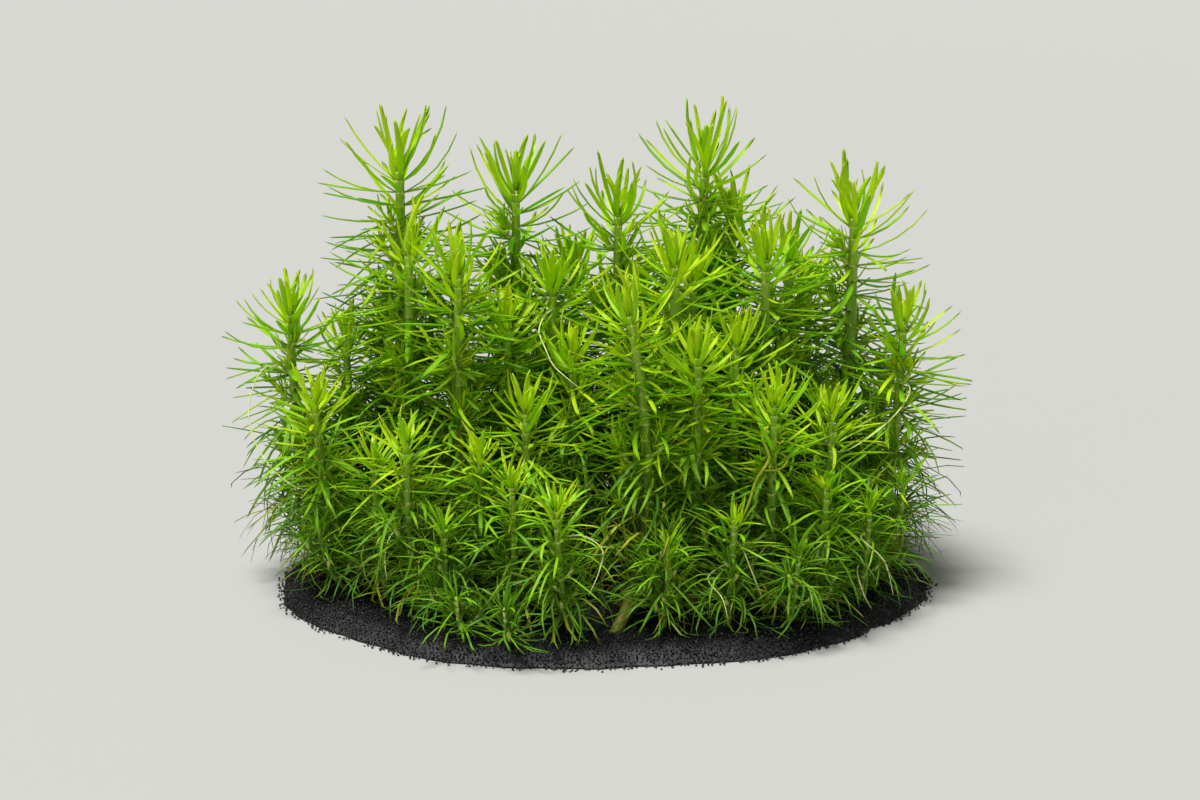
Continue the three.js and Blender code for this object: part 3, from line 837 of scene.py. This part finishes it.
def leaf_material(plants):
    """Submerged leaf: thin, wet-looking and full of light. The cuticle gives a soft gloss, and light
    from behind comes through as a yellower green. Its cells are too small to show, so the grain of its
    skin is drawn coarser than they are."""
    material, tree = new_material("submerged_leaf")
    age, along, side, chance = [
        add(tree, "ShaderNodeAttribute", {"attribute_name": name}).outputs["Fac"]
        for name in ("ageing", "along", "side", "chance")
    ]
    uneven = add(tree, "ShaderNodeMath", "MULTIPLY_ADD", [chance, 0.4, -0.18])
    mixed_age = add(tree, "ShaderNodeMath", {"operation": "ADD", "use_clamp": True}, [age, uneven])
    body = colour_steps(add(tree, "ShaderNodeValToRGB", {}, [mixed_age]), [
        (0.0, [*plants.young_colour, 1]),
        (0.3, [*plants.grown_colour, 1]),
        (0.68, [*plants.old_colour, 1]),
        (0.84, linear("#7ea01c")),
        (1.0, linear("#b8b834")),
    ])
    pale_foot = add(tree, "ShaderNodeMapRange", {}, {
        "Value": along, "From Min": 0.0, "From Max": 0.16, "To Min": 0.5, "To Max": 0.0})
    footed = add(tree, "ShaderNodeMix", {"data_type": "RGBA"}, {
        "Factor": pale_foot, "A": body, "B": linear("#c9d779")})
    from_middle = add(tree, "ShaderNodeMath", "PINGPONG", [side, 0.5])
    midrib = add(tree, "ShaderNodeMapRange", {}, {
        "Value": from_middle, "From Min": 0.36, "From Max": 0.5, "To Min": 0.0, "To Max": 0.45})
    veined = add(tree, "ShaderNodeMix", {"data_type": "RGBA"}, {
        "Factor": midrib, "A": footed, "B": linear("#b6d85a")})
    place = add(tree, "ShaderNodeTexCoord")
    mottle = add(tree, "ShaderNodeTexNoise", {}, {
        "Vector": place.outputs["Object"], "Scale": 1 / (1.2 * MM), "Detail": 2.0})
    darker = add(tree, "ShaderNodeMapRange", {}, {"Value": mottle, "To Min": 0.82, "To Max": 1.12})
    tint = add(tree, "ShaderNodeMix", {"data_type": "RGBA", "blend_type": "MULTIPLY"}, {
        "Factor": 1.0, "A": veined, "B": darker})
    grain = add(tree, "ShaderNodeTexNoise", {}, {
        "Vector": place.outputs["Object"], "Scale": 1 / (0.35 * MM), "Detail": 3.0})
    groove = add(tree, "ShaderNodeBump", {"invert": True}, {
        "Strength": 0.7, "Distance": 0.5 * MM, "Height": from_middle})
    bump = add(tree, "ShaderNodeBump", {}, {
        "Strength": 0.25, "Distance": 0.05 * MM, "Height": grain, "Normal": groove})
    skin = add(tree, "ShaderNodeBsdfPrincipled", {}, {
        "Base Color": tint, "Roughness": 0.45, "IOR": 1.4, "Normal": bump})
    through = add(tree, "ShaderNodeBsdfTranslucent", {}, {"Color": tint, "Normal": bump})
    mixed = add(tree, "ShaderNodeMixShader", {}, [0.4, skin, through])
    add(tree, "ShaderNodeOutputMaterial", {}, [mixed])
    return material


def stem_material():
    """Round green stem: juicy and smooth, so a little light goes into it. Faint lines run along it, and
    there is a paler ring at each joint."""
    material, tree = new_material("green_stem")
    age, ring, side = [
        add(tree, "ShaderNodeAttribute", {"attribute_name": name}).outputs["Fac"]
        for name in ("ageing", "ring", "side")
    ]
    body = colour_steps(add(tree, "ShaderNodeValToRGB", {}, [age]), [
        (0.0, linear("#a8d028")),
        (0.35, linear("#84b21e")),
        (0.7, linear("#64901a")),
        (1.0, linear("#8c8c30")),
    ])
    lines = add(tree, "ShaderNodeTexWave", {"bands_direction": "X"}, {
        "Vector": add(tree, "ShaderNodeCombineXYZ", {}, [side]), "Scale": 1.6, "Distortion": 0.0})
    faint = add(tree, "ShaderNodeMapRange", {}, {"Value": lines, "To Min": 0.86, "To Max": 1.06})
    striped = add(tree, "ShaderNodeMix", {"data_type": "RGBA", "blend_type": "MULTIPLY"}, {
        "Factor": 1.0, "A": body, "B": faint})
    ringed = add(tree, "ShaderNodeMix", {"data_type": "RGBA"}, {
        "Factor": ring, "A": striped, "B": linear("#dcec7c")})
    place = add(tree, "ShaderNodeTexCoord")
    grain = add(tree, "ShaderNodeTexNoise", {}, {
        "Vector": place.outputs["Object"], "Scale": 1 / (0.5 * MM), "Detail": 2.0})
    bump = add(tree, "ShaderNodeBump", {}, {"Strength": 0.2, "Distance": 0.05 * MM, "Height": grain})
    skin = add(tree, "ShaderNodeBsdfPrincipled", {}, {
        "Base Color": ringed, "Roughness": 0.45, "IOR": 1.45, "Normal": bump,
        "Subsurface Weight": 0.15, "Subsurface Scale": 1 * MM})
    add(tree, "ShaderNodeOutputMaterial", {}, [skin])
    return material


def root_material():
    """Aerial root: a cream thread, a little clear at its surface. A bare old shoot is yellow-green."""
    material, tree = new_material("aerial_root")
    place = add(tree, "ShaderNodeTexCoord")
    patches = add(tree, "ShaderNodeTexNoise", {}, {
        "Vector": place.outputs["Object"], "Scale": 1 / (3 * MM), "Detail": 2.0})
    body = colour_steps(add(tree, "ShaderNodeValToRGB", {}, [patches]), [
        (0.3, linear("#d2d878")),
        (0.7, linear("#eef2ac")),
    ])
    old_shoot = add(tree, "ShaderNodeAttribute", {"attribute_name": "ageing"}).outputs["Fac"]
    kind = add(tree, "ShaderNodeMix", {"data_type": "RGBA"}, {
        "Factor": old_shoot, "A": body, "B": linear("#ccd02c")})
    skin = add(tree, "ShaderNodeBsdfPrincipled", {}, {"Base Color": kind, "Roughness": 0.5, "IOR": 1.42})
    add(tree, "ShaderNodeOutputMaterial", {}, [skin])
    return material


def gravel_material(bed):
    """Baked clay gravel: black granules, matt with a pinpoint of gloss where a face is smooth. Their darkness
    differs a little at random, and a rare few are painted far paler as a painted glint, so the bed looks
    speckled. The mound under them takes the darkest colour, a painted shade in the gaps between the grains.
    The pores of a granule are too small to show and are drawn coarser."""
    # The least tone is the colour of the darkest grains and of the mound, which has no chance value; on the
    # mound it is painted shade in the gaps between the grains.
    least_tone_and_gap_shade, painted_glint_gain, rarity = 0.6, 14.0, 5.0
    material, tree = new_material("black_gravel")
    place = add(tree, "ShaderNodeTexCoord")
    chance = add(tree, "ShaderNodeAttribute", {"attribute_name": "chance"}).outputs["Fac"]
    # Grains whose chance is near 1 are painted many times paler: a painted glint on the black gravel, not a
    # paler grain.
    glint_share = add(tree, "ShaderNodeMath", "POWER", [chance, rarity])
    shade = add(tree, "ShaderNodeMath", "MULTIPLY_ADD", [glint_share, painted_glint_gain, least_tone_and_gap_shade])
    body = add(tree, "ShaderNodeMix", {"data_type": "RGBA", "blend_type": "MULTIPLY"}, {
        "Factor": 1.0, "A": [*bed.colour, 1], "B": shade})
    grain = add(tree, "ShaderNodeTexNoise", {}, {
        "Vector": place.outputs["Object"], "Scale": 1 / (0.4 * MM), "Detail": 3.0})
    rough = add(tree, "ShaderNodeMapRange", {}, {"Value": grain, "To Min": 0.35, "To Max": 0.8})
    bump = add(tree, "ShaderNodeBump", {}, {"Strength": 0.6, "Distance": 0.1 * MM, "Height": grain})
    skin = add(tree, "ShaderNodeBsdfPrincipled", {}, {
        "Base Color": body, "Roughness": rough, "IOR": 1.5, "Normal": bump})
    add(tree, "ShaderNodeOutputMaterial", {}, [skin])
    return material


def floor_material(stage):
    """Plain matt paint: it scatters the light evenly and shows no gloss."""
    material, tree = new_material("plain_floor")
    skin = add(tree, "ShaderNodeBsdfPrincipled", {}, {
        "Base Color": [*stage.floor_colour, 1], "Roughness": 0.8})
    add(tree, "ShaderNodeOutputMaterial", {}, [skin])
    return material


class CLUMP_OT_shoots(bpy.types.Operator):
    """Grows every shoot with its fine leaves, in place of its plain solid"""

    bl_idname = "clump.shoots"
    bl_label = "Grow the shoots"

    def execute(self, context):
        plants = context.scene.clump_plants
        blank = leaf_blank()
        tree = shoot_tree()
        finishes = {"Leaf finish": leaf_material(plants), "Stem finish": stem_material()}
        named = [(f"{kind}_{number}", *line) for kind, lines in SHOOTS.items()
                 for number, line in enumerate(lines, 1)]
        for seed, (node, top, foot, *knee) in enumerate(named):
            rng = np.random.default_rng(seed)
            main = main_stem(top, foot, knee[0] if knee else None, context.scene.clump_bed)
            stems = [main, *side_stems(main, plants, rng)]
            path = path_object(f"{node}_in_leaf", [stem_part(stem, plants, rng) for stem in stems])
            fasten(grow_path(path, tree, blank, seed, finishes), "foliage", node)
        bpy.data.objects.remove(blank)
        return {"FINISHED"}


def grow_path(path, tree, blank, seed, finishes):
    """Runs the tree of a shoot on a path, with room in its map for all its leaves. The middle lines of
    the leaves keep half a leaf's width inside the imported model's box."""
    leaves = np.zeros(len(path.data.vertices), np.int32)
    path.data.attributes["leaves"].data.foreach_get("value", leaves)
    columns = math.ceil(leaves.sum() / LEAF_BANDS)
    half_leaf = 1 * MM
    lowest, highest = [np.array(corner) for corner in CAD_BOX]
    return grown(path, tree, {
        "Leaf": blank, "Stem sides": STEM_SIDES, "Leaf columns": columns, "Seed": seed,
        "Lowest": list(lowest + half_leaf), "Highest": list(highest - half_leaf), **finishes})


class CLUMP_OT_roots(bpy.types.Operator):
    """Hangs the pale aerial roots from the joints of some stems"""

    bl_idname = "clump.roots"
    bl_label = "Add the aerial roots"

    def execute(self, context):
        finish = root_material()
        blank = leaf_blank()
        parts = []
        for thickness, old_shoot, points in AERIAL_ROOTS:
            from_tip = np.array(points[::-1]) * MM
            parts.append(bare_part(Stem(thread(from_tip)), thickness * MM, old_shoot))
        path = path_object("aerial_roots", parts)
        finishes = {"Leaf finish": finish, "Stem finish": finish}
        fasten(grow_path(path, shoot_tree(), blank, 0, finishes), "foliage")
        bpy.data.objects.remove(blank)
        return {"FINISHED"}


def rim_line(bed, sectors):
    """The points of the bed's rim, an uneven oval, frayed inwards where it thins out."""
    seed = 2
    angles = np.arange(sectors) * 2 * math.pi / sectors
    wander = 1 + sum(height * np.sin(count * angles + start) for count, height, start in RIM_WAVES)
    lobes = np.random.default_rng(seed).random(RIM_LOBES)
    fray = 1 - RIM_FRAY * np.interp(np.arange(sectors) * RIM_LOBES / sectors, range(RIM_LOBES), lobes)
    oval = np.stack([bed.half_length * np.cos(angles), bed.half_depth * np.sin(angles)], axis=-1)
    return oval * (wander * fray)[:, None]


def bed_rings(bed, shares):
    """The top of the bed: rings of points, each at a share of the way from the middle to the rim, and
    the faces between them. Also how many grains each point wants: most near the rim, where no plants
    hide the gravel, and fewer and fewer on the ground beyond it."""
    sectors = 216
    open_width, most_open = 24 * MM, 1.4
    hidden_share, spill_width = 0.2, 3 * MM
    rim = rim_line(bed, sectors)
    radius = np.linalg.norm(rim, axis=1)
    points, wanted = [(0, 0, bed.height)], [hidden_share]
    for share in shares:
        inward = (1 - share) * radius
        slope = np.clip(1 - inward / bed.rim_width, 0, 1)
        heights = bed.height * (1 - slope**2)
        points += [(*xy * share, z) for xy, z in zip(rim, heights)]
        inside = np.clip(most_open - inward / open_width, hidden_share, 1)
        wanted += list(inside * np.clip(1 + inward / spill_width, 0, 1))
    return points, ring_faces(len(shares), sectors), wanted


def bed_mound(bed):
    """The closed mound of the bed: its top, with close rings near the rim, and its flat underside."""
    rings, closeness = 36, 1.5
    points, faces, _ = bed_rings(bed, 1 - np.linspace(1, 0, rings + 1)[1:] ** closeness)
    sectors = (len(points) - 1) // rings
    last = len(points) - sectors
    faces += [(last + (i + 1) % sectors, last + i, len(points)) for i in range(sectors)]
    return [*points, (0, 0, 0)], faces


def bed_tree():
    """The tree that makes the bed's top lumpy. The lumps are what shows between the loose grains, and with no
    chance value they take the gravel's darkest colour, a painted shade in the gaps. The thin edge and the
    underside stay smooth."""
    lump_depth, least_depth = -0.5, -0.2
    smooth_height = 1.2 * MM
    tree, given = new_tree("Lumpy gravel", {"Grain": "NodeSocketFloat", "Finish": "NodeSocketMaterial"})
    place = add(tree, "GeometryNodeInputPosition")
    scale = add(tree, "ShaderNodeMath", "DIVIDE", [1.0, given["Grain"]])
    lumps = add(tree, "ShaderNodeTexVoronoi", {}, {"Vector": place, "Scale": scale})
    sunk = add(tree, "ShaderNodeMath", "MULTIPLY_ADD", [lumps, lump_depth, least_depth])
    depth = add(tree, "ShaderNodeMath", "MULTIPLY", [sunk, given["Grain"]])
    normal = add(tree, "GeometryNodeInputNormal")
    offset = add(tree, "ShaderNodeVectorMath", "SCALE", {"Vector": normal, "Scale": depth})
    height = add(tree, "ShaderNodeSeparateXYZ", {}, [place])
    raised = add(tree, "FunctionNodeCompare", "GREATER_THAN", [height.outputs["Z"], smooth_height])
    lumpy = add(tree, "GeometryNodeSetPosition", {}, {
        "Geometry": given["Geometry"], "Selection": raised, "Offset": offset})
    real = add(tree, "GeometryNodeRealizeInstances", {}, [lumpy])
    done = add(tree, "GeometryNodeSetMaterial", {}, {"Geometry": real, "Material": given["Finish"]})
    add(tree, "NodeGroupOutput", {}, [done])
    return tree


def grain_tree():
    """The tree that strews chips of gravel over a surface, none of them below the ground. A chip is
    stretched in its own way and knocked out of shape."""
    smallest, largest = (0.36, 0.32, 0.28), (0.62, 0.55, 0.48)
    knock_size, knock_depth = 0.9 * MM, 0.7 * MM
    tree, given = new_tree("Strewn grains", {
        "Grain": "NodeSocketFloat", "Seed": "NodeSocketInt", "Finish": "NodeSocketMaterial"})
    points = grain_points(tree, given)
    turn = add(tree, "FunctionNodeRandomValue", {"data_type": "FLOAT_VECTOR"}, {
        "Min": (0, 0, 0), "Max": (math.tau, math.tau, math.tau), "Seed": given["Seed"]})
    size = add(tree, "FunctionNodeRandomValue", {"data_type": "FLOAT_VECTOR"}, {
        "Min": smallest, "Max": largest, "Seed": given["Seed"]})
    real_size = add(tree, "ShaderNodeVectorMath", "SCALE", {"Vector": size, "Scale": given["Grain"]})
    chip = add(tree, "GeometryNodeMeshUVSphere", {}, {"Radius": 1.0, "Segments": 4, "Rings": 2})
    mapped = add(tree, "GeometryNodeStoreNamedAttribute", {"data_type": "FLOAT2", "domain": "CORNER"}, {
        "Geometry": chip, "Name": "own_map", "Value": chip.outputs["UV Map"]})
    strewn = add(tree, "GeometryNodeInstanceOnPoints", {}, {
        "Points": points, "Instance": mapped, "Rotation": turn, "Scale": real_size})
    real = add(tree, "GeometryNodeRealizeInstances", {}, [strewn])
    place = add(tree, "GeometryNodeInputPosition")
    knocks = add(tree, "ShaderNodeTexNoise", {}, {"Vector": place, "Scale": 1 / knock_size})
    centred = add(tree, "ShaderNodeVectorMath", "SUBTRACT", [knocks.outputs["Color"], (0.5, 0.5, 0.5)])
    shift = add(tree, "ShaderNodeVectorMath", "SCALE", {"Vector": centred, "Scale": knock_depth})
    knocked = add(tree, "GeometryNodeSetPosition", {}, {"Geometry": real, "Offset": shift})
    above = add(tree, "ShaderNodeVectorMath", "MAXIMUM", [place, (-1, -1, 0)])
    settled = add(tree, "GeometryNodeSetPosition", {}, {"Geometry": knocked, "Position": above})
    kept = add(tree, "GeometryNodeStoreNamedAttribute", {"data_type": "FLOAT2", "domain": "CORNER"}, {
        "Geometry": settled, "Name": "OFBake", "Value": grain_map_place(tree)})
    done = add(tree, "GeometryNodeSetMaterial", {}, {"Geometry": kept, "Material": given["Finish"]})
    add(tree, "NodeGroupOutput", {}, [done])
    return tree


def grain_points(tree, given):
    """The places of the grains, each with its number, a chance value, and the width of the grains' map.
    Some are half sunk and some lie on top."""
    spacing, most_a_square_metre = 0.82, 3000000.0
    deepest, highest = -0.1, 0.5
    lift_seed, chance_seed = 5, 3
    wanted = add(tree, "GeometryNodeInputNamedAttribute", {"data_type": "FLOAT"}, {"Name": "wanted"})
    apart = add(tree, "ShaderNodeMath", "MULTIPLY", [given["Grain"], spacing])
    spots = add(tree, "GeometryNodeDistributePointsOnFaces", {"distribute_method": "POISSON"}, {
        "Mesh": given["Geometry"], "Density Factor": wanted, "Density Max": most_a_square_metre,
        "Distance Min": apart, "Seed": given["Seed"]})
    lift = add(tree, "FunctionNodeRandomValue", {}, {"Min": deepest, "Max": highest, "Seed": lift_seed})
    height = add(tree, "ShaderNodeMath", "MULTIPLY", [lift.outputs["Value"], given["Grain"]])
    outward = add(tree, "ShaderNodeVectorMath", "SCALE", {
        "Vector": spots.outputs["Normal"], "Scale": height})
    points = add(tree, "GeometryNodeSetPosition", {}, {"Geometry": spots, "Offset": outward})
    total = add(tree, "GeometryNodeAttributeDomainSize", {"component": "POINTCLOUD"}, {"Geometry": points})
    root = add(tree, "ShaderNodeMath", "SQRT", [total.outputs["Point Count"]])
    stored = {
        "number": ("INT", add(tree, "GeometryNodeInputIndex").outputs[0]),
        "cells": ("FLOAT", add(tree, "ShaderNodeMath", "CEIL", [root]).outputs[0]),
        "chance": ("FLOAT", add(tree, "FunctionNodeRandomValue", {}, {"Seed": chance_seed}).outputs["Value"]),
    }
    for name, (kind, value) in stored.items():
        points = add(tree, "GeometryNodeStoreNamedAttribute", {"data_type": kind, "domain": "POINT"}, {
            "Geometry": points, "Name": name, "Value": value})
    return points


def grain_map_place(tree):
    """A place in the grains' map: each grain has a cell of its own in a square of cells, and leaves a
    margin in it."""
    margin = 0.1
    inner = 1 - 2 * margin
    number, cells, own_map = [
        add(tree, "GeometryNodeInputNamedAttribute", {"data_type": kind}, {"Name": name})
        for name, kind in (("number", "INT"), ("cells", "FLOAT"), ("own_map", "FLOAT_VECTOR"))
    ]
    column = add(tree, "ShaderNodeMath", "FLOORED_MODULO", [number, cells])
    rows = add(tree, "ShaderNodeMath", "DIVIDE", [number, cells])
    row = add(tree, "ShaderNodeMath", "FLOOR", [rows])
    corner = add(tree, "ShaderNodeCombineXYZ", {}, [column, row])
    inset = add(tree, "ShaderNodeVectorMath", "MULTIPLY_ADD", [
        own_map, (inner, inner, 0), (margin, margin, 0)])
    spot = add(tree, "ShaderNodeVectorMath", "ADD", [corner, inset])
    share = add(tree, "ShaderNodeMath", "DIVIDE", [1.0, cells])
    return add(tree, "ShaderNodeVectorMath", "SCALE", {"Vector": spot, "Scale": share})


class CLUMP_OT_bed(bpy.types.Operator):
    """Heaps the gravel bed and strews loose grains over it, in place of its plain solid"""

    bl_idname = "clump.bed"
    bl_label = "Lay the gravel bed"

    def execute(self, context):
        bed = context.scene.clump_bed
        inputs = {"Grain": bed.grain, "Seed": 7, "Finish": gravel_material(bed)}
        points, faces = bed_mound(bed)
        mound = grown(new_object("gravel_mound", points, (), faces), bed_tree(), inputs)
        fasten(mound, "gravel", "gravel_bed")
        innermost, spill, rings = 0.03, 1.04, 70
        points, faces, wanted = bed_rings(bed, np.linspace(innermost, spill, rings))
        field = new_object("gravel_grains", points, (), faces, {"wanted": ("FLOAT", wanted)})
        fasten(grown(field, grain_tree(), inputs), "gravel")
        return {"FINISHED"}


def floor_sweep():
    """The points, edges and faces of a floor that is flat round the clump and sweeps up far away on
    every side, so that it is the backdrop as well."""
    below = -0.1 * MM
    flat_reach, reach, rise = 1.5, 6.0, 2.2
    rings, sectors = 24, 96
    angles = np.arange(sectors) * math.tau / sectors
    points = [(0, 0, below)]
    for share in np.linspace(0, 1, rings):
        radius = lerp(flat_reach, reach, share)
        points += [(radius * math.cos(a), radius * math.sin(a), below + rise * share**2) for a in angles]
    return points, (), ring_faces(rings, sectors)


def put_object(name, data, location, degrees):
    """An object at a place in the scene, turned by degrees about its axes."""
    item = bpy.data.objects.new(name, data)
    item.location = location
    item.rotation_euler = [math.radians(angle) for angle in degrees]
    bpy.context.scene.collection.objects.link(item)
    return item


def place_light(name, kind, location, degrees, **settings):
    """A light of a kind, with its settings."""
    light = bpy.data.lights.new(name, kind)
    for setting, value in settings.items():
        setattr(light, setting, value)
    put_object(name, light, location, degrees)


class CLUMP_OT_stage(bpy.types.Operator):
    """Sets the floor, the soft lights and the camera"""

    bl_idname = "clump.stage"
    bl_label = "Set the stage"

    def execute(self, context):
        stage = context.scene.clump_stage
        floor = new_object("floor", *floor_sweep())
        floor.data.shade_smooth()
        floor.data.materials.append(floor_material(stage))
        place_light("key_light", "SUN", (0, 0, 1), (5, -12, 0),
                    energy=stage.key_strength, angle=math.radians(26))
        place_light("fill_light", "AREA", (-0.7, -1.0, 0.6), (62, 0, -35), energy=stage.fill_power, size=0.9)
        world = bpy.data.worlds.new("studio")
        context.scene.world = world
        world.use_nodes = True
        background = world.node_tree.nodes["Background"]
        background.inputs["Color"].default_value = linear("#eeeeea")
        background.inputs["Strength"].default_value = stage.world_strength
        context.scene.view_settings.view_transform = "Standard"
        camera = bpy.data.cameras.new("camera")
        camera.lens = stage.lens
        back, height, tilt = 861.3 * MM, 287.7 * MM, 76
        context.scene.camera = put_object("camera", camera, (0, -back, height), (tilt, 0, 0))
        return {"FINISHED"}


class CLUMP_PT_panel(bpy.types.Panel):
    """The steps that build the clump, and their settings"""

    bl_idname = "CLUMP_PT_panel"
    bl_label = "Plant clump"
    bl_space_type = "VIEW_3D"
    bl_region_type = "UI"
    bl_category = "Clump"

    def draw(self, context):
        for operator in OPERATORS:
            self.layout.operator(operator.bl_idname)
        for group in (context.scene.clump_bed, context.scene.clump_plants, context.scene.clump_stage):
            for name in group.bl_rna.properties.keys():
                if name not in ("rna_type", "name"):
                    self.layout.prop(group, name)


OPERATORS = (CLUMP_OT_bed, CLUMP_OT_shoots, CLUMP_OT_roots, CLUMP_OT_stage)
SETTINGS = {"clump_bed": BedSettings, "clump_plants": ShootSettings, "clump_stage": StageSettings}


def register():
    """Adds the classes and their settings to Blender."""
    for kind in (*SETTINGS.values(), *OPERATORS, CLUMP_PT_panel):
        bpy.utils.register_class(kind)
    for name, kind in SETTINGS.items():
        setattr(bpy.types.Scene, name, bpy.props.PointerProperty(type=kind))


def unregister():
    """Takes the classes and their settings out again."""
    for name in SETTINGS:
        delattr(bpy.types.Scene, name)
    for kind in (CLUMP_PT_panel, *OPERATORS, *SETTINGS.values()):
        bpy.utils.unregister_class(kind)


def main():
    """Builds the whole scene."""
    register()
    bpy.ops.clump.bed()
    bpy.ops.clump.shoots()
    bpy.ops.clump.roots()
    bpy.ops.clump.stage()
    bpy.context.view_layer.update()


if __name__ == "__main__":
    main()
